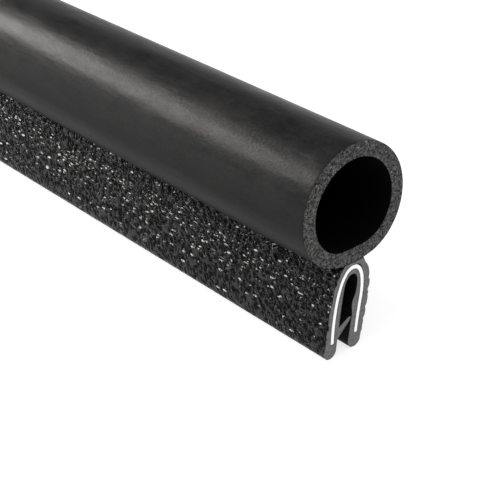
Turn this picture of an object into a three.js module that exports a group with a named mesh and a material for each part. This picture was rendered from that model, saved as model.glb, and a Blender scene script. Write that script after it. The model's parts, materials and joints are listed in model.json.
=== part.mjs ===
// Push-on edge trim seal: a one foot length of bulb trim.
// A hollow sponge bulb sits on a U-shaped gripping carrier, which is moulded round a bent steel strip.
// The trim stands on its two leg tips, with its length along Y and its cut ends at plus and minus half of it.
// Millimetres, +Z up. The origin is at the middle of the floor under the trim.

import * as THREE from "three";

// Length
const LENGTH = 304.8;

// Channel that grips the panel's edge
const CHANNEL_WIDTH = 2.75;
const CHANNEL_DEPTH = 13.55; // from the left leg's tip to the channel's closed end
const CHANNEL_MOUTH_FLARE = 0.1; // how far the right wall opens towards its tip
const CHANNEL_TOE_IN = 0.5; // how far the left wall closes in towards its tip
const CHANNEL_TOE_CURVE = 1.5; // exponent of the left wall's curve, 1 is straight
const CHANNEL_CROWN_HEIGHT = 2.6;

// Steel strip
const STEEL_GAUGE = 0.6;
const STEEL_INSET = 2.5; // from each leg's tip to the strip's edge
const STEEL_TOE_IN = 0.5; // left leg, at the strip's edge
const STEEL_TOE_OUT = 0.2; // right leg, at the strip's edge
const LEFT_LINING = 0.8; // rubber between the channel and the strip
const RIGHT_LINING = 0.95;
const CROWN_LINING = 0.8;

// Carrier round the strip
const LEFT_SKIN = 0.77; // rubber outside the strip
const RIGHT_SKIN = 1.25;
const LEFT_TIP_RADIUS = 1.25;
const RIGHT_TIP_RADIUS = 1.33;
const LEG_STAGGER = 0.8; // how much shorter the right leg is
const SHOULDER_HEIGHT = 8.5; // where the flanks start to curve over
const CROWN_FULLNESS = 2.3; // exponent of the crown's superellipse, 2 is an ellipse
const SADDLE_COVER = 0.45; // rubber between the strip and the bulb
const SADDLE_RISE = 0.55; // how far the crown's shoulders cup the bulb
const NECK_STEP = 0.1; // least step from a shoulder down onto the saddle

// Rib on the channel's right wall
const RIB_HEIGHT = 0.42;
const RIB_CENTRE = 8.5;
const RIB_HALF_WIDTH = 2.2;

// Gripping lip on the channel's left wall
const LIP_ROOT_HEIGHT = 4.1;
const LIP_ROOT_THICKNESS = 1.4;
const LIP_TIP_RADIUS = 0.32;
const LIP_SLOPE = 46; // degrees above level
const LIP_CLEARANCE = 0.2; // between the lip and the right wall

// Sponge bulb
const BULB_RADIUS = 10;
const BULB_WALL = 2.42;
const BULB_OVALITY = 0.029;
const BULB_OVAL_ANGLE = -33; // degrees, the oval's long axis
const BULB_LEAN = 12; // degrees, how far the bulb leans left of the channel
const BULB_SEAT_OFFSET = -0.2; // from the channel's middle to the middle of the seat
const BULB_BASE_FLAT = 0.89; // how far the outside is pressed in at the seat
const BULB_BORE_FLAT = 1.0; // the same for the bore
const BULB_FLAT_SPREAD = 0.55; // radians, how wide the pressed stretch is

const BOND_GAP = 0.1; // clearance between pieces that are bonded together

// Steps along curves
const BULB_STEPS = 96;
const CROWN_STEPS = 14;
const WALL_STEPS = 12;
const RIB_STEPS = 36;
const TIP_STEPS = 12;

const HALF_CHANNEL = CHANNEL_WIDTH / 2;
const HALF_GAUGE = STEEL_GAUGE / 2;
const CHANNEL_SPRING = CHANNEL_DEPTH - CHANNEL_CROWN_HEIGHT; // where its walls start to curve over
const RIB_FOOT = RIB_CENTRE - RIB_HALF_WIDTH;
const STEEL_LEFT = -HALF_CHANNEL - LEFT_LINING - HALF_GAUGE; // strip's centreline
const STEEL_RIGHT = HALF_CHANNEL + RIGHT_LINING + HALF_GAUGE;
const STEEL_TOP = CHANNEL_DEPTH + CROWN_LINING + HALF_GAUGE;
const OUTER_LEFT = STEEL_LEFT - HALF_GAUGE - LEFT_SKIN;
const OUTER_RIGHT = STEEL_RIGHT + HALF_GAUGE + RIGHT_SKIN;
const SEAT_HEIGHT = STEEL_TOP + HALF_GAUGE + SADDLE_COVER;
const CROWN_TOP = SEAT_HEIGHT + SADDLE_RISE;

const LEFT_TIP = new THREE.Vector2(-HALF_CHANNEL + CHANNEL_TOE_IN - LEFT_TIP_RADIUS, LEFT_TIP_RADIUS);
const RIGHT_TIP = new THREE.Vector2(
  HALF_CHANNEL + CHANNEL_MOUTH_FLARE + RIGHT_TIP_RADIUS,
  LEG_STAGGER + RIGHT_TIP_RADIUS,
);

const degrees = THREE.MathUtils.degToRad;
const point = (x, z) => new THREE.Vector2(x, z);

// Points at equal steps from one number to another, both ends included.
function steps(from, to, count) {
  return Array.from({ length: count + 1 }, (_, i) => from + ((to - from) * i) / count);
}

// Points on a circle, between two angles in radians.
function arc(centre, radius, from, to, count) {
  return steps(from, to, count).map((a) =>
    point(centre.x + radius * Math.cos(a), centre.y + radius * Math.sin(a)),
  );
}

// One side of a crown: a superellipse quarter from the flank at (side, spring) up to (0, top).
function crown(side, spring, top) {
  return steps(0, Math.PI / 2, CROWN_STEPS).map((a) =>
    point(
      side * Math.cos(a) ** (2 / CROWN_FULLNESS),
      spring + (top - spring) * Math.sin(a) ** (2 / CROWN_FULLNESS),
    ),
  );
}

// Bulb
const BASE_ANGLE = degrees(BULB_LEAN - 90);
const BASE_RADIUS = ovalRadius(BULB_RADIUS, BULB_BASE_FLAT, BASE_ANGLE);
const BULB_CENTRE = point(
  BULB_SEAT_OFFSET - BASE_RADIUS * Math.cos(BASE_ANGLE),
  SEAT_HEIGHT - BASE_RADIUS * Math.sin(BASE_ANGLE),
);

// Distance from the bulb's centre to its outside or bore in one direction: oval, and pressed in at the seat.
function ovalRadius(radius, flat, angle) {
  const turn = Math.atan2(Math.sin(angle - BASE_ANGLE), Math.cos(angle - BASE_ANGLE));
  const oval = 1 + BULB_OVALITY * Math.cos(2 * (angle - degrees(BULB_OVAL_ANGLE)));
  return radius * oval - flat * Math.exp(-((turn / BULB_FLAT_SPREAD) ** 2));
}

// A point on the bulb's outside, moved out by a clearance.
function bulbOutside(angle, clearance) {
  const radius = ovalRadius(BULB_RADIUS, BULB_BASE_FLAT, angle) + clearance;
  return point(BULB_CENTRE.x + radius * Math.cos(angle), BULB_CENTRE.y + radius * Math.sin(angle));
}

function bulbBore(angle) {
  const radius = ovalRadius(BULB_RADIUS - BULB_WALL, BULB_BORE_FLAT, angle);
  return point(BULB_CENTRE.x + radius * Math.cos(angle), BULB_CENTRE.y + radius * Math.sin(angle));
}

function bulbSection() {
  const turn = steps(0, 2 * Math.PI, BULB_STEPS).slice(0, -1);
  const section = new THREE.Shape(turn.map((a) => bulbOutside(a, 0)));
  section.holes.push(new THREE.Path(turn.map(bulbBore)));
  return section;
}

// Strip's centreline, from the left leg's edge over the crown to the right leg's edge.
function steelCentreline() {
  const bow = (z, foot) => ((SHOULDER_HEIGHT - z) / (SHOULDER_HEIGHT - foot)) ** 2;
  const leftFoot = STEEL_INSET;
  const rightFoot = STEEL_INSET + LEG_STAGGER;
  const left = steps(leftFoot, SHOULDER_HEIGHT, WALL_STEPS).map((z) =>
    point(STEEL_LEFT + STEEL_TOE_IN * bow(z, leftFoot), z),
  );
  const right = steps(SHOULDER_HEIGHT, rightFoot, WALL_STEPS).map((z) =>
    point(STEEL_RIGHT + STEEL_TOE_OUT * bow(z, rightFoot), z),
  );
  const leftCrown = crown(STEEL_LEFT, SHOULDER_HEIGHT, STEEL_TOP);
  const rightCrown = crown(STEEL_RIGHT, SHOULDER_HEIGHT, STEEL_TOP).reverse();
  return [...left.slice(0, -1), ...leftCrown.slice(0, -1), ...rightCrown.slice(0, -1), ...right];
}

// The strip's outline: its centreline moved to both sides, and lengthened at its edges.
function steelOutline(clearance) {
  const line = steelCentreline();
  const half = HALF_GAUGE + clearance;
  const last = line.length - 1;
  const along = (i) =>
    line[Math.min(i + 1, last)].clone().sub(line[Math.max(i - 1, 0)]).normalize();
  const ends = line.map((p, i) => {
    const past = i === 0 ? -clearance : i === last ? clearance : 0;
    return p.clone().addScaledVector(along(i), past);
  });
  const side = (offset) =>
    ends.map((p, i) => point(p.x - offset * along(i).y, p.y + offset * along(i).x));
  return [...side(half), ...side(-half).reverse()];
}

// The channel's right wall, from its mouth up to the crown, with its rib.
function rightWall() {
  return steps(RIGHT_TIP.y, CHANNEL_SPRING, RIB_STEPS).map((z) => {
    const down = (RIB_FOOT - z) / (RIB_FOOT - RIGHT_TIP.y);
    const near = Math.abs(z - RIB_CENTRE) / RIB_HALF_WIDTH;
    const rib = near < 1 ? (RIB_HEIGHT * (1 + Math.cos(Math.PI * near))) / 2 : 0;
    return point(HALF_CHANNEL + CHANNEL_MOUTH_FLARE * Math.max(down, 0) - rib, z);
  });
}

// The left wall's place at a height: it closes in evenly from the crown to the tip.
function leftWallAt(z) {
  const down = Math.max(CHANNEL_SPRING - z, 0) / (CHANNEL_SPRING - LEFT_TIP.y);
  return -HALF_CHANNEL + CHANNEL_TOE_IN * down ** CHANNEL_TOE_CURVE;
}

// The lip, from its root's top edge round its tip to its root's lower edge.
function lip() {
  const slope = degrees(LIP_SLOPE);
  const along = point(Math.cos(slope), Math.sin(slope));
  const up = point(-along.y, along.x);
  const root = point(leftWallAt(LIP_ROOT_HEIGHT), LIP_ROOT_HEIGHT);
  const reach = HALF_CHANNEL - LIP_CLEARANCE - LIP_TIP_RADIUS - root.x;
  const tip = root.clone().addScaledVector(along, reach / along.x);
  const onWall = (side) => {
    const edge = root.clone().addScaledVector(up, (side * LIP_ROOT_THICKNESS) / 2);
    edge.addScaledVector(along, (leftWallAt(edge.y) - edge.x) / along.x);
    return point(leftWallAt(edge.y), edge.y);
  };
  const end = arc(tip, LIP_TIP_RADIUS, slope + Math.PI / 2, slope - Math.PI / 2, TIP_STEPS);
  return [onWall(1), ...end, onWall(-1)];
}

// The crown's outside on one side, from the flank up to where the saddle starts.
function shoulder(side) {
  return crown(side, SHOULDER_HEIGHT, CROWN_TOP).filter((p) => {
    const from = p.clone().sub(BULB_CENTRE);
    return from.length() > ovalRadius(BULB_RADIUS, BULB_BASE_FLAT, from.angle()) + BOND_GAP + NECK_STEP;
  });
}

// The saddle under the bulb, between the two shoulders.
function saddle(left, right) {
  const angleAt = (p) => p.clone().sub(BULB_CENTRE).angle();
  const [from, to] = [angleAt(left), angleAt(right)];
  return steps(from, to, CROWN_STEPS).map((a) => bulbOutside(a, BOND_GAP));
}

function carrierSection() {
  const leftShoulder = shoulder(OUTER_LEFT);
  const rightShoulder = shoulder(OUTER_RIGHT).reverse();
  const channelCrown = [
    ...crown(HALF_CHANNEL, CHANNEL_SPRING, CHANNEL_DEPTH).slice(1, -1),
    ...crown(-HALF_CHANNEL, CHANNEL_SPRING, CHANNEL_DEPTH).reverse(),
  ];
  const lipOutline = lip();
  const above = steps(CHANNEL_SPRING, lipOutline[0].y, WALL_STEPS)
    .slice(1, -1)
    .map((z) => point(leftWallAt(z), z));
  const section = new THREE.Shape([
    ...leftShoulder,
    ...saddle(leftShoulder.at(-1), rightShoulder[0]),
    ...rightShoulder,
    ...arc(RIGHT_TIP, RIGHT_TIP_RADIUS, 0, -Math.PI, TIP_STEPS),
    ...rightWall().slice(1),
    ...channelCrown,
    ...above,
    ...lipOutline,
    ...arc(LEFT_TIP, LEFT_TIP_RADIUS, 0, -Math.PI, TIP_STEPS),
  ]);
  section.holes.push(new THREE.Path(steelOutline(BOND_GAP).reverse()));
  return section;
}

// A section drawn in X and Z, run along the trim's whole length.
function extrusion(name, section, material) {
  const geometry = new THREE.ExtrudeGeometry(section, { depth: LENGTH, bevelEnabled: false });
  geometry.translate(0, 0, -LENGTH / 2);
  const mesh = new THREE.Mesh(geometry, material);
  mesh.name = name;
  mesh.rotation.x = Math.PI / 2;
  return mesh;
}

const sponge = new THREE.MeshStandardMaterial({ color: 0x2a2a2c, roughness: 0.75, metalness: 0 });
const rubber = new THREE.MeshStandardMaterial({ color: 0x1c1c1e, roughness: 0.5, metalness: 0 });
const steel = new THREE.MeshStandardMaterial({ color: 0xd8dadc, roughness: 0.3, metalness: 1 });

const profile = new THREE.Group();
profile.add(extrusion("sponge_bulb", bulbSection(), sponge));
profile.add(extrusion("grip_carrier", carrierSection(), rubber));
profile.add(extrusion("steel_core", new THREE.Shape(steelOutline(0)), steel));

// The trim leans until both round leg tips touch the floor.
const apart = RIGHT_TIP.clone().sub(LEFT_TIP);
profile.rotation.y = apart.angle() + Math.asin((LEFT_TIP_RADIUS - RIGHT_TIP_RADIUS) / apart.length());

const edgeTrimSeal = new THREE.Group();
edgeTrimSeal.add(profile);
edgeTrimSeal.updateMatrixWorld(true);
const extent = new THREE.Box3().setFromObject(profile, true);
profile.position.set(-(extent.min.x + extent.max.x) / 2, 0, -extent.min.z);

export default edgeTrimSeal;
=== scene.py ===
"""The looks of the push-on edge trim seal: its bulb, its grained carrier, its steel strip and the studio.

Lengths are metres in Blender and millimetres where a name or a docstring says so.
The trim lies along Y, with its cut ends at plus and minus half of its length.
"""

import json
import logging
import math
from collections.abc import Callable
from dataclasses import dataclass
from enum import Enum

import bmesh
import bpy
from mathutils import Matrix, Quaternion, Vector

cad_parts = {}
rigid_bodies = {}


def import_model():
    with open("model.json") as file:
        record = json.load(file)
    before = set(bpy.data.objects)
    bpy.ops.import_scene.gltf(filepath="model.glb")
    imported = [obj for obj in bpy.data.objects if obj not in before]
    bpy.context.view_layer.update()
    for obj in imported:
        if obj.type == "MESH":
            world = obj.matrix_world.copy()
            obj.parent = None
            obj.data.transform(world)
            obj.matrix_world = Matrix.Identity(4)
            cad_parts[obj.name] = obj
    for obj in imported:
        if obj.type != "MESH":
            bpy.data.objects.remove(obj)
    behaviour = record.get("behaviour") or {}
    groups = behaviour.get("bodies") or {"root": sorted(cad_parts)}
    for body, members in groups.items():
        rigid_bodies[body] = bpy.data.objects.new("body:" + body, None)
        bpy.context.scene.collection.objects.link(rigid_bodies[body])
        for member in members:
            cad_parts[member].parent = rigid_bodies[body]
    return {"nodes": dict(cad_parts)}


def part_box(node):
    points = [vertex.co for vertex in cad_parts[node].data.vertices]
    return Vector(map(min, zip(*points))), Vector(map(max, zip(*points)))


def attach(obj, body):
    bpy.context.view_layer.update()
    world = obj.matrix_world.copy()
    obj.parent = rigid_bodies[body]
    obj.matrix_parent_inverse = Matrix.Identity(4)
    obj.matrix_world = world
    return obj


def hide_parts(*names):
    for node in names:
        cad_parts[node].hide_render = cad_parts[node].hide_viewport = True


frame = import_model()

MM = 0.001
IN_MM = (1000.0, 1000.0, 1000.0)

# The trim: half its length, its section's lean and foot, and the foot of its shoulders.
HALF_LENGTH = 152.4
LEAN = math.radians(9.2053)
SECTION_X = -1.822
SECTION_Z = -0.33
SHOULDER = 8.5

# How squarely a face points along the trim on a cut end, and on one whose edges are rounded.
SQUARE_END = 0.9
ROUNDED_END = 0.7

# The mean of a noise or of a random number between 0 and 1.
MEAN = 0.5

WARM_WHITE = (1.0, 0.975, 0.95)

log = logging.getLogger("edge_trim_seal")

Pair = tuple[float, float]
Triple = tuple[float, float, float]


class CutEnd(Enum):
    """The two cut ends of the trim, as the sign of their place along Y."""

    NEAR = -1
    FAR = 1


class BulbFace(Enum):
    """The kinds of face on the bulb, as the slots of its materials."""

    SKIN = 0
    CUT = 1
    BORE = 2


class CarrierFace(Enum):
    """The kinds of face on the carrier, as the slots of its materials."""

    GRAIN = 0
    CUT = 1
    CHANNEL = 2


class Element(Enum):
    """The kinds of mesh element that are selected, under the names that Blender gives them."""

    FACE = "faces"
    EDGE = "edges"


class Layout(Enum):
    """How a pattern of cells is laid out, under the names that Blender gives it."""

    FLAT = "2D"
    SOLID = "3D"


@dataclass(frozen=True)
class Noise:
    """One noise: its features to the millimetre, its octaves of finer noise, and how strong those are."""

    scale: float
    detail: float
    roughness: float = 0.5


class Wire:
    """A socket that takes part in Python expressions, which add the Math nodes that work them out."""

    def __init__(self, graph: "Graph", socket: bpy.types.NodeSocket) -> None:
        """Wrap one output socket.

        Args:
            graph: The graph that the socket belongs to.
            socket: The output socket.
        """
        self.graph = graph
        self.socket = socket

    def __add__(self, other: "Wire | float") -> "Wire":
        """Return this plus the other."""
        return self.graph.math("ADD", self, other)

    def __radd__(self, other: float) -> "Wire":
        """Return the number plus this."""
        return self.graph.math("ADD", other, self)

    def __sub__(self, other: "Wire | float") -> "Wire":
        """Return this minus the other."""
        return self.graph.math("SUBTRACT", self, other)

    def __rsub__(self, other: float) -> "Wire":
        """Return the number minus this."""
        return self.graph.math("SUBTRACT", other, self)

    def __mul__(self, other: "Wire | float") -> "Wire":
        """Return this times the other."""
        return self.graph.math("MULTIPLY", self, other)

    def __rmul__(self, other: float) -> "Wire":
        """Return the number times this."""
        return self.graph.math("MULTIPLY", other, self)


class Graph:
    """A node tree under construction, for a material or for a mesh's relief."""

    MIX_A = 6
    MIX_B = 7
    MIX_RESULT = 2

    def __init__(self, tree: bpy.types.NodeTree) -> None:
        """Start from an empty tree.

        Args:
            tree: The tree that the nodes go into.
        """
        self.tree = tree
        tree.nodes.clear()

    def add(self, kind: str, settings: dict | None = None, sockets: dict | None = None) -> bpy.types.Node:
        """Add a node.

        Args:
            kind: The node's type.
            settings: The node's own settings, by name, which are set first.
            sockets: The values or wires of its input sockets, by name or number.

        Returns:
            The node.
        """
        node = self.tree.nodes.new(kind)
        for name, value in (settings or {}).items():
            setattr(node, name, value)
        for name, value in (sockets or {}).items():
            if isinstance(value, Wire):
                self.tree.links.new(value.socket, node.inputs[name])
            else:
                node.inputs[name].default_value = value
        return node

    def wire(self, node: bpy.types.Node, output: str | int = 0) -> Wire:
        """Return one output of a node as a wire."""
        return Wire(self, node.outputs[output])

    def math(self, operation: str, *values: Wire | float) -> Wire:
        """Return the result of a Math node."""
        sockets = dict(enumerate(values))
        return self.wire(self.add("ShaderNodeMath", {"operation": operation}, sockets))

    def clamped(self, value: Wire) -> Wire:
        """Return a value held between 0 and 1."""
        return self.wire(self.add("ShaderNodeClamp", None, {"Value": value}))

    def smooth(self, value: Wire, low: float, high: float) -> Wire:
        """Return 0 below one value, 1 above another, and a smooth step between them."""
        sockets = {"Value": value, "From Min": low, "From Max": high}
        return self.wire(self.add("ShaderNodeMapRange", {"interpolation_type": "SMOOTHSTEP"}, sockets))

    def between(self, ends: Pair, factor: Wire) -> Wire:
        """Return the first of two numbers where a factor is 0, the second where it is 1."""
        return ends[0] + (ends[1] - ends[0]) * factor

    def vector(self, operation: str, *values: Wire | Triple) -> Wire:
        """Return the vector result of a Vector Math node."""
        sockets = dict(enumerate(values))
        return self.wire(self.add("ShaderNodeVectorMath", {"operation": operation}, sockets))

    def parts(self, vector: Wire) -> tuple[Wire, Wire, Wire]:
        """Return the three parts of a vector."""
        node = self.add("ShaderNodeSeparateXYZ", None, {0: vector})
        return self.wire(node, 0), self.wire(node, 1), self.wire(node, 2)

    def joined(self, x: Wire | float, y: Wire | float, z: Wire | float) -> Wire:
        """Return three parts as one vector."""
        return self.wire(self.add("ShaderNodeCombineXYZ", None, {0: x, 1: y, 2: z}))

    def turned(self, vector: Wire, angle: float) -> Wire:
        """Return a vector turned about Z by an angle in radians."""
        settings = {"rotation_type": "Z_AXIS"}
        return self.wire(self.add("ShaderNodeVectorRotate", settings, {"Vector": vector, "Angle": angle}))

    def noise(self, place: Wire, noise: Noise) -> Wire:
        """Return a noise between 0 and 1 at a point in millimetres."""
        return self.wire(self._noise_node(place, noise), "Fac")

    def noise_vector(self, place: Wire, noise: Noise) -> Wire:
        """Return a vector noise around zero at a point in millimetres, for warping a pattern."""
        colour = self.wire(self._noise_node(place, noise), "Color")
        return self.vector("SUBTRACT", colour, (MEAN, MEAN, MEAN))

    def _noise_node(self, place: Wire, noise: Noise) -> bpy.types.Node:
        """Return a noise node."""
        finer = {"Detail": noise.detail, "Roughness": noise.roughness}
        return self.add("ShaderNodeTexNoise", None, {"Vector": place, "Scale": noise.scale, **finer})

    def cell_node(self, place: Wire, scale: float, layout: Layout) -> bpy.types.Node:
        """Return a node of random cells.

        Args:
            place: The point, in millimetres.
            scale: Cells to the millimetre.
            layout: Whether the pattern is laid out flat or fills space.

        Returns:
            The node, whose distance to the middle of the nearest cell is in cells.
        """
        settings = {"voronoi_dimensions": layout.value}
        return self.add("ShaderNodeTexVoronoi", settings, {"Vector": place, "Scale": scale})

    def cells(self, place: Wire, scale: float, layout: Layout) -> Wire:
        """Return the distance to the middle of the nearest cell, in cells."""
        return self.wire(self.cell_node(place, scale, layout), "Distance")

    def colour(self, factor: Wire, dark: Triple, light: Triple) -> Wire:
        """Return a mix of two colours."""
        sockets = {"Factor": factor, self.MIX_A: (*dark, 1.0), self.MIX_B: (*light, 1.0)}
        return self.wire(self.add("ShaderNodeMix", {"data_type": "RGBA"}, sockets), self.MIX_RESULT)


class Shader(Graph):
    """The node tree of one material."""

    def __init__(self, name: str) -> None:
        """Make a material with an empty tree.

        Args:
            name: The material's name.
        """
        self.material = bpy.data.materials.new(name)
        self.material.use_nodes = True
        super().__init__(self.material.node_tree)

    def place(self) -> Wire:
        """Return the surface point on the object, in millimetres."""
        coordinates = self.wire(self.add("ShaderNodeTexCoord"), "Object")
        return self.vector("MULTIPLY", coordinates, IN_MM)

    def bump(self, height: Wire) -> Wire:
        """Return the normal that a height in millimetres gives."""
        sockets = {"Height": height, "Distance": MM, "Strength": 1.0}
        return self.wire(self.add("ShaderNodeBump", None, sockets))

    def principled(self, sockets: dict) -> bpy.types.Node:
        """Return a surface shader with some sockets set, by name."""
        return self.add("ShaderNodeBsdfPrincipled", None, sockets)

    def diffuse(self, colour: Triple, normal: Wire) -> bpy.types.Node:
        """Return a shader without any gloss."""
        return self.add("ShaderNodeBsdfDiffuse", None, {"Color": (*colour, 1.0), "Normal": normal})

    def mixed(self, factor: Wire, first: bpy.types.Node, second: bpy.types.Node) -> bpy.types.Node:
        """Return the first shader where a factor is 0, mixed into the second where it is 1."""
        return self.add("ShaderNodeMixShader", None, {0: factor, 1: self.wire(first), 2: self.wire(second)})

    def close(self, shader: bpy.types.Node) -> bpy.types.Material:
        """Make a shader node the surface and return the material."""
        self.add("ShaderNodeOutputMaterial", None, {"Surface": self.wire(shader)})
        return self.material


class Relief(Graph):
    """A relief on the faces of one material on a piece's own mesh, worked out by nodes and applied to it."""

    SHARE = "relief_share"

    def __init__(self, piece: bpy.types.Object, name: str, slot: int) -> None:
        """Make an empty relief for a piece.

        Args:
            piece: The piece whose vertices move, which is in object mode.
            name: The relief's name.
            slot: The material's slot.
        """
        self.piece = piece
        self.name = name
        self._mark_inner(slot)
        tree = bpy.data.node_groups.new(name, "GeometryNodeTree")
        tree.interface.new_socket("Geometry", in_out="INPUT", socket_type="NodeSocketGeometry")
        tree.interface.new_socket("Geometry", in_out="OUTPUT", socket_type="NodeSocketGeometry")
        super().__init__(tree)

    def place(self) -> Wire:
        """Return the vertex's place, in millimetres."""
        position = self.wire(self.add("GeometryNodeInputPosition"))
        return self.vector("MULTIPLY", position, IN_MM)

    def _mark_inner(self, slot: int) -> None:
        """Give each vertex a 1 where all faces round it have one slot's material, and a 0 elsewhere.

        Args:
            slot: The material's slot.
        """
        shares = [1.0] * len(self.piece.data.vertices)
        for face in self.piece.data.polygons:
            if face.material_index != slot:
                for index in face.vertices:
                    shares[index] = 0.0
        layer = self.piece.data.attributes.new(self.SHARE, "FLOAT", "POINT")
        layer.data.foreach_set("value", shares)

    def press(self, height: Wire) -> None:
        """Move the piece's vertices along their normals and apply the result.

        Args:
            height: How far each vertex moves, in millimetres.
        """
        share = self.add("GeometryNodeInputNamedAttribute", {"data_type": "FLOAT"}, {"Name": self.SHARE})
        normal = self.wire(self.add("GeometryNodeInputNormal"))
        sockets = {0: normal, "Scale": height * self.wire(share) * MM}
        offset = self.wire(self.add("ShaderNodeVectorMath", {"operation": "SCALE"}, sockets))
        source = self.wire(self.add("NodeGroupInput"))
        moved = self.wire(self.add("GeometryNodeSetPosition", None, {"Geometry": source, "Offset": offset}))
        self.add("NodeGroupOutput", None, {0: moved})
        self.piece.modifiers.new(self.name, "NODES").node_group = self.tree
        Workbench.apply_all(self.piece)
        attributes = self.piece.data.attributes
        attributes.remove(attributes[self.SHARE])


def leant(x: Wire | float, z: Wire | float) -> tuple:
    """Return a direction's parts across and up the trim's own section, which leans."""
    return math.cos(LEAN) * x - math.sin(LEAN) * z, math.sin(LEAN) * x + math.cos(LEAN) * z


def in_section(x: Wire | float, z: Wire | float) -> tuple:
    """Return how far across and up the trim's own section a point in millimetres lies."""
    return leant(x - SECTION_X, z - SECTION_Z)


@dataclass(frozen=True)
class BulbSkin:
    """The satin black skin on the outside of the sponge bulb, with painted shade on its lower half.

    Its tone and gloss follow one mottle, made of clouds, of streaks along the trim and of fine pits.
    """

    dark: Triple = (0.0115, 0.0112, 0.0118)
    light: Triple = (0.0215, 0.0210, 0.0205)
    # Painted shade on the lower half: its dark glossless colour, its share, and the heights over which it
    # fades out.
    lower_shade: Triple = (0.010, 0.010, 0.010)
    lower_shade_share: float = 0.52
    lower_shade_heights: Pair = (23.0, 28.5)
    roughness: float = 0.37
    roughness_spread: float = 0.45
    specular: float = 0.12
    drawn: Triple = (1.0, 0.22, 1.0)
    clouds: Noise = Noise(0.16, 3.0, 0.6)
    streaks: Noise = Noise(1.4, 3.0, 0.6)
    pits: Noise = Noise(1.9, 2.0, 0.6)
    waves: Noise = Noise(0.30, 2.0)
    cloud_share: float = 0.45
    streak_share: float = 0.30
    pit_share: float = 0.25
    tint_edges: Pair = (0.32, 0.68)
    pit_depth: float = 0.022
    streak_depth: float = 0.016
    wave_depth: float = 0.14

    def material(self) -> bpy.types.Material:
        """Build the skin's material.

        Returns:
            The material.
        """
        s = Shader("bulb_skin")
        place = s.place()
        drawn = s.vector("MULTIPLY", place, self.drawn)
        clouds = s.noise(place, self.clouds)
        streaks = s.noise(drawn, self.streaks)
        pits = s.noise(place, self.pits)
        waves = s.noise(drawn, self.waves)
        mottle = s.clamped(self.cloud_share * clouds + self.streak_share * streaks + self.pit_share * pits)
        normal = s.bump(self.pit_depth * pits + self.streak_depth * streaks + self.wave_depth * waves)
        satin = s.principled({
            "Base Color": s.colour(s.smooth(mottle, *self.tint_edges), self.dark, self.light),
            "Roughness": self.roughness + self.roughness_spread * (mottle - MEAN),
            "Normal": normal,
            "Specular IOR Level": self.specular,
        })
        _, _, up = s.parts(place)
        # Painted shade: towards the bottom the satin is mixed with a dark glossless shader, which dims the
        # lower half's reflection of the floor.
        share = self.lower_shade_share * (1.0 - s.smooth(up, *self.lower_shade_heights))
        return s.close(s.mixed(share, satin, s.diffuse(self.lower_shade, normal)))


@dataclass(frozen=True)
class CutSponge:
    """The open pores where the sponge bulb is cut, painted darker as shade inside them, with pale specks in
    their walls.
    """

    # The dark end of the tone, which both the painted shade in the pores and the sponge's own random tone
    # reach.
    pore: Triple = (0.020, 0.020, 0.020)
    wall: Triple = (0.212, 0.210, 0.206)
    warp: Noise = Noise(1.6, 2.0)
    fine: Noise = Noise(3.0, 2.0, 0.7)
    cloud: Noise = Noise(0.7, 2.0)
    pores_per_mm: float = 2.4
    pore_edges: Pair = (0.14, 0.52)
    specks_per_mm: float = 1.5
    speck_edges: Pair = (0.10, 0.30)
    speck_shift: Triple = (7.0, 0.0, 3.0)
    # The weight of the painted shade in the pores.
    pore_shade_tone: float = 0.50
    fine_tone: float = 2.20
    cloud_tone: float = 0.35
    speck_tone: float = 0.75
    tone_drop: float = 1.50
    depth: float = 0.12
    fine_depth: float = 0.8
    roughness: float = 0.85
    wall_gloss: float = 0.15
    specular: float = 0.3

    def warped(self, graph: Graph, place: Wire) -> Wire:
        """Return a point in millimetres, moved about so that no two pores are alike."""
        return graph.vector("ADD", place, graph.noise_vector(place, self.warp))

    def pores(self, graph: Graph, warped: Wire) -> Wire:
        """Return the height of the cut face, between 0 in a pore and 1 on the walls."""
        return graph.smooth(graph.cells(warped, self.pores_per_mm, Layout.SOLID), *self.pore_edges)

    def material(self) -> bpy.types.Material:
        """Build the cut sponge's material.

        Returns:
            The material.
        """
        s = Shader("cut_sponge")
        place = s.place()
        warped = self.warped(s, place)
        pores = self.pores(s, warped)
        shifted = s.vector("ADD", warped, self.speck_shift)
        specks = 1.0 - s.smooth(s.cells(shifted, self.specks_per_mm, Layout.SOLID), *self.speck_edges)
        fine = s.noise(place, self.fine)
        cloud = s.noise(place, self.cloud)
        # Painted shade: the pores' share of the tone darkens them as shade inside them; the fine and cloud
        # noise and the specks are the sponge's own random tone.
        tone = self.pore_shade_tone * pores + self.fine_tone * fine + self.cloud_tone * cloud
        wall = s.clamped(tone + self.speck_tone * specks - self.tone_drop)
        return s.close(s.principled({
            "Base Color": s.colour(wall, self.pore, self.wall),
            "Roughness": self.roughness - self.wall_gloss * pores,
            "Normal": s.bump(self.depth * (pores + self.fine_depth * fine)),
            "Specular IOR Level": self.specular,
        }))


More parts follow.
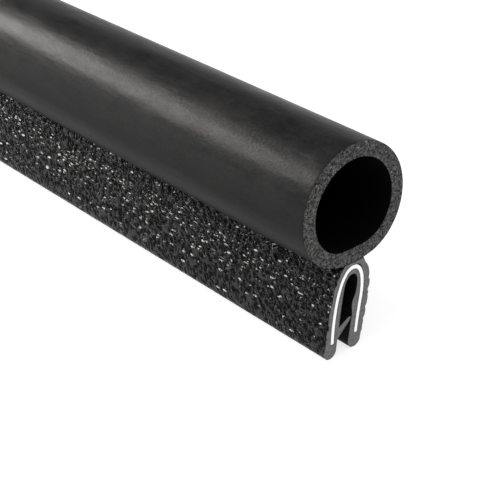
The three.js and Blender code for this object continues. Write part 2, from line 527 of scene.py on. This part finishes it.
@dataclass(frozen=True)
class LeatherGrain:
    """The shape of the carrier's leather grain, which its mesh and its material share.

    Long slanting pits lie close together, with a network of ridges between them. The grain is laid out flat,
    along the trim one way and round its section the other, from the foot of each leg to the top. The
    shoulders are a superellipse, whose slope is a share of the turn's tangent, raised to a power.
    """

    pits_per_mm: float = 2.3
    stretch: float = 0.32
    slant: float = math.radians(36.0)
    bends: Noise = Noise(0.9, 2.0)
    bend_reach: float = 0.84
    rags: Noise = Noise(1.7, 2.0, 0.6)
    raggedness: float = 0.30
    pit_edges: Pair = (0.16, 0.57)
    creases_per_pit: float = 2.0
    crease_edges: Pair = (0.10, 0.50)
    crease_shift: Triple = (3.7, 1.9, 0.0)
    arch_radius: float = 5.0
    side_gap: float = 400.0
    slope_share: float = 0.18
    slope_power: float = 1.3
    last_turn: float = 1.2

    def unrolled(self, graph: Graph, place: Wire) -> Wire:
        """Return a point laid out flat, as its places along the trim and round its section.

        Args:
            graph: The tree that the nodes go into.
            place: The point, in millimetres.

        Returns:
            The flat point.
        """
        x, along, z = graph.parts(place)
        across, up = in_section(x, z)
        side = graph.math("SIGN", across)
        rise = graph.math("MAXIMUM", up - SHOULDER, 0.0)
        turn = graph.math("ARCTAN2", rise, graph.math("ABSOLUTE", across))
        around = graph.math("MINIMUM", up, SHOULDER) + self.arch_radius * turn
        return graph.joined(along + self.side_gap * side, around, 0.0)

    def shoulder_slope(self, graph: Graph, around: Wire) -> Wire:
        """Return how steeply the shoulder leans back at a place round the section.

        Args:
            graph: The tree that the nodes go into.
            around: The place round the section, in millimetres.

        Returns:
            The slope, which is 0 on the leg.
        """
        turn = graph.math("MAXIMUM", around - SHOULDER, 0.0) * (1.0 / self.arch_radius)
        tangent = graph.math("TANGENT", graph.math("MINIMUM", turn, self.last_turn))
        return self.slope_share * graph.math("POWER", tangent, self.slope_power)

    def folded(self, graph: Graph, flat: Wire) -> Wire:
        """Return a flat point in the grain's own directions, with the stretch along the pits taken out.

        Args:
            graph: The tree that the nodes go into.
            flat: The flat point, in millimetres.

        Returns:
            The point in the grain's directions.
        """
        slanted = graph.turned(flat, self.slant)
        stretched = graph.vector("MULTIPLY", slanted, (1.0, self.stretch, 1.0))
        bent = graph.noise_vector(stretched, self.bends)
        shift = graph.vector("MULTIPLY", bent, (self.bend_reach, self.bend_reach, 0.0))
        return graph.vector("ADD", stretched, shift)

    def ridges(self, graph: Graph, folded: Wire) -> Wire:
        """Return the grain's height.

        Args:
            graph: The tree that the nodes go into.
            folded: The point in the grain's directions.

        Returns:
            The height, between 0 in a pit and 1 on the ridges.
        """
        ragged = self.raggedness * (graph.noise(folded, self.rags) - MEAN)
        reach = graph.cells(folded, self.pits_per_mm, Layout.FLAT) + ragged
        return graph.smooth(reach, *self.pit_edges)

    def creases(self, graph: Graph, folded: Wire) -> Wire:
        """Return the height of finer creases on the ridges.

        Args:
            graph: The tree that the nodes go into.
            folded: The point in the grain's directions.

        Returns:
            The height, between 0 in a crease and 1 beside it.
        """
        shifted = graph.vector("ADD", folded, self.crease_shift)
        reach = graph.cells(shifted, self.creases_per_pit * self.pits_per_mm, Layout.FLAT)
        return graph.smooth(reach, *self.crease_edges)


@dataclass(frozen=True)
class GrainedRubber:
    """The leather-grained outside of the carrier, glossy on its ridges and painted dead black in its pits,
    and in part in its creases, as shade that stands in for the shadow inside them.

    Here and there a bead stands out of the grain, and its upper side is flat and catches a lamp. More of the
    cells hold a bead high up than low down, and right under the bulb the beads lean back less.
    """

    grain: LeatherGrain = LeatherGrain()
    # Painted shade: the colour of the dead black pits, where a glossless shader stands in for the shadow
    # inside them.
    pit: Triple = (0.0035, 0.0035, 0.0035)
    dark: Triple = (0.0010, 0.0010, 0.0010)
    light: Triple = (0.0060, 0.0060, 0.0059)
    fine: Noise = Noise(2.8, 2.0, 0.6)
    tone_edges: Pair = (0.35, 0.65)
    depth: float = 0.12
    crease_depth: float = 0.30
    fine_depth: float = 0.30
    roughness: float = 0.16
    pit_roughness: float = 0.20
    specular: float = 0.33
    # How much glossy rubber is left in the pits and in the creases; the rest is painted shade.
    pit_gloss: float = 0.20
    crease_gloss: float = 0.62
    gloss_edges: Pair = (0.05, 0.75)
    beads_per_mm: float = 2.0
    bead_stretch: float = 0.30
    bead_edges: Pair = (0.27, 0.45)
    bead_shares: Pair = (0.27, 0.90)
    share_heights: Pair = (2.0, 13.0)
    chance_edges: Pair = (1.0, 1.01)
    bead_falls: Pair = (0.24, 0.26)
    bead_spreads: Pair = (0.52, 0.17)
    neck_heights: Pair = (11.4, 12.6)
    bead_turn: float = 0.50

    def material(self) -> bpy.types.Material:
        """Build the grained rubber's material.

        Returns:
            The material.
        """
        s = Shader("grained_rubber")
        flat = self.grain.unrolled(s, s.place())
        folded = self.grain.folded(s, flat)
        ridge = self.grain.ridges(s, folded)
        crease = self.grain.creases(s, folded)
        fine = s.noise(folded, self.fine)
        bead, slope = self._beads(s, flat)
        rough = self.depth * (ridge + self.crease_depth * crease + self.fine_depth * fine)
        normal = s.bump(rough * (1.0 - bead) + slope)
        # Painted shade: in the pits, and in part in the creases, the rubber is mixed towards a dark
        # glossless shader that stands in for the shadow inside them.
        above = s.smooth(ridge, *self.gloss_edges) * s.between((self.crease_gloss, 1.0), crease)
        unshaded_share = s.math("MAXIMUM", s.between((self.pit_gloss, 1.0), above), bead)
        rubber = s.principled({
            "Base Color": s.colour(s.smooth(fine, *self.tone_edges), self.dark, self.light),
            "Roughness": self.roughness + self.pit_roughness * (1.0 - unshaded_share),
            "Normal": normal,
            "Specular IOR Level": self.specular,
        })
        return s.close(s.mixed(unshaded_share, s.diffuse(self.pit, normal), rubber))

    def _beads(self, s: Shader, flat: Wire) -> tuple[Wire, Wire]:
        """Work out the beads, whose flat tops lean by chance within a spread.

        Args:
            s: The tree that the nodes go into.
            flat: The flat point, in millimetres.

        Returns:
            How much of the point is bead, and the bead's height in millimetres.
        """
        drawn = s.vector("MULTIPLY", flat, (self.bead_stretch, 1.0, 1.0))
        cells = s.cell_node(drawn, self.beads_per_mm, Layout.FLAT)
        chance, turn, rise = s.parts(s.wire(cells, "Color"))
        _, height, _ = s.parts(flat)
        share = s.between(self.bead_shares, s.smooth(height, *self.share_heights))
        inside = 1.0 - s.smooth(s.wire(cells, "Distance"), *self.bead_edges)
        bead = s.smooth(chance + share, *self.chance_edges) * inside
        neck = s.smooth(height, *self.neck_heights)
        lean_back = s.between(self.bead_falls, neck) + s.between(self.bead_spreads, neck) * rise
        fall = lean_back - self.grain.shoulder_slope(s, height)
        lean_along = self.bead_turn * (turn - MEAN)
        along, around, _ = s.parts(s.vector("SUBTRACT", drawn, s.wire(cells, "Position")))
        return bead, -1.0 * bead * (fall * around + lean_along * along)


@dataclass(frozen=True)
class CutRubber:
    """The smooth grey face where the dense rubber is cut."""

    dark: Triple = (0.070, 0.070, 0.070)
    light: Triple = (0.190, 0.190, 0.188)
    drawn: Triple = (3.0, 1.0, 0.7)
    scratches: Noise = Noise(2.2, 3.0, 0.6)
    grit: Noise = Noise(3.2, 2.0)
    grit_edges: Pair = (0.32, 0.56)
    grit_share: float = 0.5
    depth: float = 0.02
    roughness: float = 0.62
    pale_gloss: float = 0.1
    specular: float = 0.4

    def material(self) -> bpy.types.Material:
        """Build the cut rubber's material.

        Returns:
            The material.
        """
        s = Shader("cut_rubber")
        place = s.place()
        scratches = s.noise(s.vector("MULTIPLY", place, self.drawn), self.scratches)
        grit = s.smooth(s.noise(place, self.grit), *self.grit_edges)
        tone = s.clamped((1.0 - self.grit_share) * scratches + self.grit_share * grit)
        return s.close(s.principled({
            "Base Color": s.colour(tone, self.dark, self.light),
            "Roughness": self.roughness - self.pale_gloss * tone,
            "Normal": s.bump(self.depth * (scratches + grit)),
            "Specular IOR Level": self.specular,
        }))


@dataclass(frozen=True)
class StreakedFinish:
    """A plain surface, whose tone, gloss and relief follow one noise that is drawn out into streaks."""

    name: str
    dark: Triple
    light: Triple
    drawn: Triple
    streaks: Noise
    depth: float
    roughness: float
    streak_roughness: float
    specular: float = 0.5
    metallic: float = 0.0

    def material(self) -> bpy.types.Material:
        """Build the surface's material.

        Returns:
            The material.
        """
        s = Shader(self.name)
        streaks = s.noise(s.vector("MULTIPLY", s.place(), self.drawn), self.streaks)
        return s.close(s.principled({
            "Base Color": s.colour(streaks, self.dark, self.light),
            "Metallic": self.metallic,
            "Roughness": self.roughness + self.streak_roughness * streaks,
            "Normal": s.bump(self.depth * streaks),
            "Specular IOR Level": self.specular,
        }))


@dataclass(frozen=True)
class ShadedBore(StreakedFinish):
    """The inside of the bulb, near-black and nearly glossless, a painted shade that stands in for the shadow
    deep in the bore.
    """

    name: str = "bore_skin"
    dark: Triple = (0.0012, 0.0012, 0.0012)
    light: Triple = (0.0030, 0.0030, 0.0030)
    drawn: Triple = (1.0, 1.0, 1.0)
    streaks: Noise = Noise(1.2, 3.0, 0.6)
    depth: float = 0.03
    roughness: float = 0.80
    streak_roughness: float = 0.15
    specular: float = 0.05


@dataclass(frozen=True)
class ChannelRubber(StreakedFinish):
    """The smooth black rubber inside the channel and on its lip."""

    name: str = "channel_rubber"
    dark: Triple = (0.0020, 0.0020, 0.0020)
    light: Triple = (0.0050, 0.0050, 0.0050)
    drawn: Triple = (1.0, 0.08, 1.0)
    streaks: Noise = Noise(2.0, 3.0, 0.6)
    depth: float = 0.02
    roughness: float = 0.60
    streak_roughness: float = 0.15
    specular: float = 0.15


@dataclass(frozen=True)
class ShearedSteel(StreakedFinish):
    """The bright sheared edge of the steel strip."""

    name: str = "sheared_steel"
    dark: Triple = (0.93, 0.93, 0.93)
    light: Triple = (0.99, 0.99, 0.99)
    drawn: Triple = (1.0, 0.3, 6.0)
    streaks: Noise = Noise(2.0, 3.0, 0.6)
    depth: float = 0.01
    roughness: float = 0.38
    streak_roughness: float = 0.12
    metallic: float = 1.0


@dataclass(frozen=True)
class StudioFloor:
    """The plain pale floor, a light table with a glow of its own."""

    pale: Triple = (0.38, 0.38, 0.38)
    paler: Triple = (0.40, 0.40, 0.40)
    mottle: Noise = Noise(0.002, 2.0)
    roughness: float = 0.9
    specular: float = 0.1
    glow: float = 0.77
    glow_colour: Triple = (1.0, 1.0, 1.0)

    def material(self) -> bpy.types.Material:
        """Build the floor's material.

        Returns:
            The material.
        """
        s = Shader("studio_floor")
        mottle = s.noise(s.place(), self.mottle)
        return s.close(s.principled({
            "Base Color": s.colour(mottle, self.pale, self.paler),
            "Roughness": self.roughness,
            "Specular IOR Level": self.specular,
            "Emission Color": (*self.glow_colour, 1.0),
            "Emission Strength": self.glow,
        }))


class Workbench:
    """Shared steps of mesh work on one object at a time."""

    MERGE_DISTANCE = 1e-6
    FLAT_ANGLE = 0.01

    @staticmethod
    def take(piece: bpy.types.Object) -> None:
        """Make one object the only selected and active one.

        Args:
            piece: The object.
        """
        bpy.ops.object.select_all(action="DESELECT")
        piece.select_set(True)
        bpy.context.view_layer.objects.active = piece

    @staticmethod
    def copy_node(node: str, name: str) -> bpy.types.Object:
        """Copy a CAD node's mesh into a piece of its own, merged and in quads.

        Args:
            node: The CAD node's name.
            name: The new piece's name.

        Returns:
            The piece.
        """
        mesh = frame["nodes"][node].data.copy()
        mesh.name = name
        mesh.materials.clear()
        piece = bpy.data.objects.new(name, mesh)
        bpy.context.scene.collection.objects.link(piece)
        Workbench.take(piece)
        bpy.ops.object.mode_set(mode="EDIT")
        bpy.ops.mesh.select_all(action="SELECT")
        bpy.ops.mesh.customdata_custom_splitnormals_clear()
        bpy.ops.mesh.remove_doubles(threshold=Workbench.MERGE_DISTANCE)
        bpy.ops.mesh.tris_convert_to_quads(face_threshold=Workbench.FLAT_ANGLE, shape_threshold=math.pi)
        bpy.ops.object.mode_set(mode="OBJECT")
        return piece

    @staticmethod
    def select(piece: bpy.types.Object, element: Element, wanted: Callable[..., bool]) -> None:
        """Select a piece's faces or its edges by a test on each.

        Args:
            piece: The piece, which is in edit mode.
            element: Whether faces or edges are selected.
            wanted: The test, which takes a face or an edge.
        """
        bpy.ops.mesh.select_mode(type=element.name)
        bpy.ops.mesh.select_all(action="DESELECT")
        shape = bmesh.from_edit_mesh(piece.data)
        for item in getattr(shape, element.value):
            if wanted(item):
                item.select_set(True)
        bmesh.update_edit_mesh(piece.data)

    @staticmethod
    def open_ends(piece: bpy.types.Object) -> None:
        """Take the faces off both square cut ends, in edit mode."""
        Workbench.select(piece, Element.FACE, lambda face: abs(face.normal.y) > SQUARE_END)
        bpy.ops.mesh.delete(type="ONLY_FACE")

    @staticmethod
    def face_outwards() -> None:
        """Turn the normals of the mesh in edit mode outwards."""
        bpy.ops.mesh.select_all(action="SELECT")
        bpy.ops.mesh.normals_make_consistent(inside=False)

    @staticmethod
    def apply_all(piece: bpy.types.Object) -> None:
        """Apply every modifier of a piece, in order.

        Args:
            piece: The piece.
        """
        Workbench.take(piece)
        for name in [modifier.name for modifier in piece.modifiers]:
            bpy.ops.object.modifier_apply(modifier=name)

    @staticmethod
    def dress(piece: bpy.types.Object, materials: list[bpy.types.Material]) -> None:
        """Give a piece its materials, in the order of its faces' slots."""
        for material in materials:
            piece.data.materials.append(material)


def runs_along(edge: bmesh.types.BMEdge, least_share: float = 0.99) -> bool:
    """Return whether at least this share of an edge's length runs along the trim."""
    a, b = edge.verts[0].co, edge.verts[1].co
    return abs(a.y - b.y) > least_share * (a - b).length


def at_end(edge: bmesh.types.BMEdge, end: CutEnd, slack: float = 1e-6) -> bool:
    """Return whether an edge lies in one cut end, but for a slack in metres."""
    place = end.value * HALF_LENGTH * MM
    return all(abs(v.co.y - place) < slack for v in edge.verts)


@dataclass
class SpongeBulb:
    """The hollow sponge bulb, with its pores open at both cut ends. Lengths are millimetres."""

    bore_reach: float = 8.6
    stations: int = 14
    rings: int = 4
    rim: float = 0.12
    rim_segments: int = 2
    rounding_levels: int = 2
    pore_relief: float = 0.10
    skin: BulbSkin = BulbSkin()
    cut: CutSponge = CutSponge()
    bore: ShadedBore = ShadedBore()

    def build(self) -> bpy.types.Object:
        """Build and dress the bulb.

        Returns:
            The piece.
        """
        piece = Workbench.copy_node("sponge_bulb", "bulb_of_sponge")
        Workbench.dress(piece, [self.skin.material(), self.cut.material(), self.bore.material()])
        low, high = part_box("sponge_bulb")
        middle = Vector(((low.x + high.x) / 2, 0.0, (low.z + high.z) / 2))
        bpy.ops.object.mode_set(mode="EDIT")
        Workbench.open_ends(piece)
        Workbench.select(piece, Element.EDGE, runs_along)
        bpy.ops.mesh.subdivide(number_cuts=self.stations)
        for end in CutEnd:
            Workbench.select(piece, Element.EDGE, lambda edge: edge.is_boundary and at_end(edge, end))
            bpy.ops.mesh.bridge_edge_loops(number_cuts=self.rings, interpolation="LINEAR", smoothness=0.0)
        Workbench.face_outwards()
        self._mark_faces(piece, middle)
        Workbench.select(piece, Element.EDGE, self._is_rim)
        bpy.ops.mesh.bevel(offset=self.rim * MM, segments=self.rim_segments, profile=0.5)
        bpy.ops.object.mode_set(mode="OBJECT")
        smoother = piece.modifiers.new("rounding", "SUBSURF")
        smoother.levels = self.rounding_levels
        smoother.render_levels = self.rounding_levels
        Workbench.apply_all(piece)
        self._press_pores(piece)
        bpy.ops.object.shade_smooth()
        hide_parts("sponge_bulb")
        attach(piece, "root")
        return piece

    def _mark_faces(self, piece: bpy.types.Object, middle: Vector) -> None:
        """Give each face the slot of its material, by its place.

        Args:
            piece: The bulb, which is in edit mode.
            middle: The middle of the bulb, in metres.
        """
        shape = bmesh.from_edit_mesh(piece.data)
        for face in shape.faces:
            out = face.calc_center_median() - middle
            if abs(face.normal.y) > ROUNDED_END:
                kind = BulbFace.CUT
            elif math.hypot(out.x, out.z) < self.bore_reach * MM:
                kind = BulbFace.BORE
            else:
                kind = BulbFace.SKIN
            face.material_index = kind.value
        bmesh.update_edit_mesh(piece.data)

    def _is_rim(self, edge: bmesh.types.BMEdge) -> bool:
        """Return whether an edge is the outer or the inner rim of a cut end."""
        kinds = {face.material_index for face in edge.link_faces}
        return len(kinds) == 2 and any(at_end(edge, end) for end in CutEnd)

    def _press_pores(self, piece: bpy.types.Object) -> None:
        """Press the open pores into both cut ends.

        Args:
            piece: The bulb, which is in object mode.
        """
        r = Relief(piece, "open_pores", BulbFace.CUT.value)
        pores = self.cut.pores(r, self.cut.warped(r, r.place()))
        r.press(self.pore_relief * (pores - 1.0))


@dataclass
class GripCarrier:
    """The dense rubber channel with its leather-grained outside. Lengths are millimetres.

    A leg's outside lies past leg_reach, and the arch's outside past an ellipse between its two faces.
    """

    grid: float = 0.40
    coarse_stations: int = 9
    fine_stations: int = 90
    relief: float = 0.26
    relief_rise: float = 0.35
    lumps: Noise = Noise(1.5, 1.0)
    lump_height: float = 0.18
    quiet_foot: Pair = (1.2, 3.2)
    slot_closing: float = 0.06
    saddle_closing: float = 0.07
    bulb_middle: Pair = (-2.094, 24.311)
    saddle_reach: float = 10.4
    saddle_facing: float = 0.9
    leg_reach: float = 2.6
    arch_half_width: float = 3.0
    arch_rise: float = 6.4
    end_depth: float = 0.01
    sharp_angle: float = math.radians(60.0)
    grain: LeatherGrain = LeatherGrain()
    outside: GrainedRubber = GrainedRubber()
    cut: CutRubber = CutRubber()
    channel: ChannelRubber = ChannelRubber()

    def build(self) -> bpy.types.Object:
        """Build and dress the carrier.

        Returns:
            The piece.
        """
        piece = Workbench.copy_node("grip_carrier", "carrier_of_rubber")
        Workbench.dress(piece, [self.outside.material(), self.cut.material(), self.channel.material()])
        bpy.ops.object.mode_set(mode="EDIT")
        Workbench.open_ends(piece)
        self._close_gaps(piece)
        self._mark_sides(piece)
        self._refine_outside(piece)
        bpy.ops.object.mode_set(mode="OBJECT")
        self._press_grain(piece)
        bpy.ops.object.mode_set(mode="EDIT")
        self._close_ends(piece)
        bpy.ops.object.mode_set(mode="OBJECT")
        bpy.ops.object.shade_smooth_by_angle(angle=self.sharp_angle)
        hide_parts("grip_carrier")
        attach(piece, "root")
        return piece

    def _close_gaps(self, piece: bpy.types.Object) -> None:
        """Close the rubber onto the strip and the saddle onto the bulb, as bonded pieces meet.

        Args:
            piece: The carrier, which is in edit mode with its ends open.
        """
        bpy.ops.mesh.select_mode(type="VERT")
        bpy.ops.mesh.select_all(action="DESELECT")
        shape = bmesh.from_edit_mesh(piece.data)
        lowest = min(shape.verts, key=lambda vertex: vertex.co.z)
        lowest.select_set(True)
        bmesh.update_edit_mesh(piece.data)
        bpy.ops.mesh.select_linked()
        bpy.ops.mesh.select_all(action="INVERT")
        bpy.ops.transform.shrink_fatten(value=self.slot_closing * MM)
        Workbench.select(piece, Element.FACE, self._is_saddle)
        bpy.ops.transform.shrink_fatten(value=self.saddle_closing * MM)

    def _section_middle(self, face: bmesh.types.BMFace) -> Pair:
        """Return a face's middle across and up the section, in millimetres."""
        middle = face.calc_center_median()
        return in_section(middle.x / MM, middle.z / MM)

    def _section_normal(self, face: bmesh.types.BMFace) -> Vector:
        """Return a face's normal across and up the section."""
        return Vector(leant(face.normal.x, face.normal.z))

    def _is_saddle(self, face: bmesh.types.BMFace) -> bool:
        """Return whether a face is part of the saddle that the bulb sits on.

        Args:
            face: The face.

        Returns:
            Whether it faces the bulb from close by.
        """
        towards = Vector(self.bulb_middle) - Vector(self._section_middle(face))
        facing = towards.normalized().dot(self._section_normal(face))
        return towards.length < self.saddle_reach and facing > self.saddle_facing

    def _is_outside(self, face: bmesh.types.BMFace) -> bool:
        """Return whether a side face belongs to the carrier's grained outside.

        Args:
            face: The face.

        Returns:
            Whether it is on the outside and no part of the saddle.
        """
        across, up = self._section_middle(face)
        if self._is_saddle(face):
            return False
        if up < SHOULDER:
            return abs(across) > self.leg_reach and self._section_normal(face).x * across > 0.0
        return math.hypot(across / self.arch_half_width, (up - SHOULDER) / self.arch_rise) > 1.0

    def _mark_sides(self, piece: bpy.types.Object) -> None:
        """Give each side face the slot of its material, by its place.

        Args:
            piece: The carrier, which is in edit mode.
        """
        shape = bmesh.from_edit_mesh(piece.data)
        for face in shape.faces:
            kind = CarrierFace.GRAIN if self._is_outside(face) else CarrierFace.CHANNEL
            face.material_index = kind.value
        bmesh.update_edit_mesh(piece.data)

    def _is_grained(self, edge: bmesh.types.BMEdge) -> bool:
        """Return whether an edge has the grained outside on a side of it."""
        return any(face.material_index == CarrierFace.GRAIN.value for face in edge.link_faces)

    def _cuts(self, edge: bmesh.types.BMEdge) -> int:
        """Return how many cuts an edge needs for the grain's grid.

        Args:
            edge: The edge.

        Returns:
            The number, which is 0 along the trim and off the grained outside.
        """
        if runs_along(edge) or not self._is_grained(edge):
            return 0
        return round(edge.calc_length() / (self.grid * MM)) - 1

    def _refine_outside(self, piece: bpy.types.Object) -> None:
        """Cut the outside into a fine grid, round the section first and then along the trim.

        Args:
            piece: The carrier, which is in edit mode.
        """
        shape = bmesh.from_edit_mesh(piece.data)
        for cuts in sorted({self._cuts(edge) for edge in shape.edges}):
            if cuts > 0:
                Workbench.select(piece, Element.EDGE, lambda edge: self._cuts(edge) == cuts)
                bpy.ops.mesh.subdivide(number_cuts=cuts)
        for stations in (self.coarse_stations, self.fine_stations):
            Workbench.select(piece, Element.EDGE, lambda edge: runs_along(edge) and self._is_grained(edge))
            bpy.ops.mesh.subdivide(number_cuts=stations - 1)

    def _press_grain(self, piece: bpy.types.Object) -> None:
        """Press the leather grain into the outside, and leave the leg tips smooth.

        Args:
            piece: The carrier, which is in object mode.
        """
        r = Relief(piece, "leather_grain", CarrierFace.GRAIN.value)
        flat = self.grain.unrolled(r, r.place())
        _, around, _ = r.parts(flat)
        ridges = self.grain.ridges(r, self.grain.folded(r, flat))
        lumps = self.lump_height * (r.noise(flat, self.lumps) - MEAN)
        height = self.relief * (ridges - (1.0 - self.relief_rise)) + lumps
        r.press(height * r.smooth(around, *self.quiet_foot))

    def _close_ends(self, piece: bpy.types.Object) -> None:
        """Fill both cut ends round the slot of the strip.

        Args:
            piece: The carrier, which is in edit mode.
        """
        for end in CutEnd:
            Workbench.select(piece, Element.EDGE, lambda edge: edge.is_boundary and at_end(edge, end))
            bpy.ops.mesh.fill(use_beauty=True)
        Workbench.face_outwards()
        far_out = (HALF_LENGTH - self.end_depth) * MM
        shape = bmesh.from_edit_mesh(piece.data)
        for face in shape.faces:
            if abs(face.normal.y) > ROUNDED_END and abs(face.calc_center_median().y) > far_out:
                face.material_index = CarrierFace.CUT.value
        bmesh.update_edit_mesh(piece.data)


@dataclass
class SteelCore:
    """The steel strip, whose CAD shape is right and only needs its finish."""

    finish: ShearedSteel = ShearedSteel()

    def build(self) -> bpy.types.Object:
        """Dress the strip's own node.

        Returns:
            The node's object.
        """
        strip = frame["nodes"]["steel_core"]
        material = self.finish.material()
        if not strip.material_slots:
            strip.data.materials.append(material)
        for slot in strip.material_slots:
            slot.material = material
        return strip


@dataclass(frozen=True)
class Viewpoint:
    """Where the camera stands, in metres, and how it is turned, in degrees."""

    place: Triple = (-0.115669, -0.257757, 0.109575)
    azimuth: float = 42.3586
    elevation: float = 30.7009
    roll: float = 0.1608
    focal_pixels: float = 1283.08
    picture_pixels: float = 500.0
    sensor_mm: float = 36.0
    nearest: float = 0.01
    farthest: float = 50.0

    def build(self) -> None:
        """Add the camera and make it the scene's own."""
        turn, rise = math.radians(self.azimuth), math.radians(self.elevation)
        ahead = Vector((math.sin(turn) * math.cos(rise), math.cos(turn) * math.cos(rise), -math.sin(rise)))
        level = ahead.to_track_quat("-Z", "Y")
        rolled = level @ Quaternion((0.0, 0.0, 1.0), math.radians(self.roll))
        bpy.ops.object.camera_add(location=self.place, rotation=rolled.to_euler())
        camera = bpy.context.object
        camera.data.sensor_fit = "HORIZONTAL"
        camera.data.sensor_width = self.sensor_mm
        camera.data.lens = self.focal_pixels / self.picture_pixels * self.sensor_mm
        camera.data.clip_start = self.nearest
        camera.data.clip_end = self.farthest
        bpy.context.scene.camera = camera


@dataclass(frozen=True)
class SoftBox:
    """A rectangular studio light that faces a point. Places and sizes are metres, power is watts."""

    name: str
    place: Triple
    aim: Triple
    width: float
    height: float
    power: float
    colour: Triple = (1.0, 1.0, 1.0)

    def build(self) -> None:
        """Add the light."""
        ahead = Vector(self.aim) - Vector(self.place)
        turn = ahead.to_track_quat("-Z", "Y").to_euler()
        bpy.ops.object.light_add(type="AREA", location=self.place, rotation=turn)
        light = bpy.context.object
        light.name = self.name
        light.data.shape = "RECTANGLE"
        light.data.size = self.width
        light.data.size_y = self.height
        light.data.energy = self.power
        light.data.color = self.colour


@dataclass
class Studio:
    """The plain pale floor, the soft lights and the camera."""

    floor_size: float = 12.0
    world_grey: float = 0.02
    floor: StudioFloor = StudioFloor()
    viewpoint: Viewpoint = Viewpoint()
    lights: tuple[SoftBox, ...] = (
        SoftBox("overhead", (-0.1, -0.6, 2.2), (0.0, 0.0, 0.0), 2.4, 2.4, 36.5),
        SoftBox("low_lamp", (-0.94, 1.0, 0.24), (0.0, -0.12, 0.02), 0.24, 0.12, 0.85),
        SoftBox("long_box", (-0.525, 0.98, 0.715), (0.0, -0.12, 0.03), 0.9, 0.36, 21.0, WARM_WHITE),
        SoftBox("left_strip", (-1.30, 0.0, 0.90), (0.0, 0.0, 0.02), 0.9, 0.12, 4.5),
        SoftBox("right_strip", (1.30, 0.0, 0.90), (0.0, 0.0, 0.02), 0.9, 0.12, 4.5),
        SoftBox("back_card", (1.10, 1.40, 0.42), (0.0, -0.10, 0.03), 1.6, 0.6, 2.2),
    )

    def build(self) -> None:
        """Add the floor, the lights, the dim surroundings and the camera."""
        bpy.context.scene.view_settings.view_transform = "Standard"
        bpy.ops.object.select_all(action="DESELECT")
        bpy.ops.mesh.primitive_plane_add(size=self.floor_size, location=(0.0, 0.0, 0.0))
        floor = bpy.context.object
        floor.name = "studio_floor"
        Workbench.dress(floor, [self.floor.material()])
        for light in self.lights:
            light.build()
        self._dim_world()
        self.viewpoint.build()

    def _dim_world(self) -> None:
        """Give the scene a plain dim world."""
        world = bpy.data.worlds.new("studio_dim")
        world.use_nodes = True
        background = world.node_tree.nodes["Background"]
        grey = self.world_grey
        background.inputs["Color"].default_value = (grey, grey, grey, 1.0)
        bpy.context.scene.world = world


def report_piece(piece: bpy.types.Object) -> None:
    """Log a piece's triangles and box.

    Args:
        piece: The piece.
    """
    piece.data.calc_loop_triangles()
    corners = [piece.matrix_world @ Vector(corner) for corner in piece.bound_box]
    low = [round(min(corner[axis] for corner in corners) / MM, 2) for axis in range(3)]
    high = [round(max(corner[axis] for corner in corners) / MM, 2) for axis in range(3)]
    log.info("%s: %d triangles, %s to %s mm", piece.name, len(piece.data.loop_triangles), low, high)


def main() -> None:
    """Build the trim's pieces and the studio."""
    logging.basicConfig(level=logging.INFO, format="%(message)s")
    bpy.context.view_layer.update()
    Studio().build()
    for part in (SpongeBulb(), GripCarrier(), SteelCore()):
        report_piece(part.build())


if __name__ == "__main__":
    main()
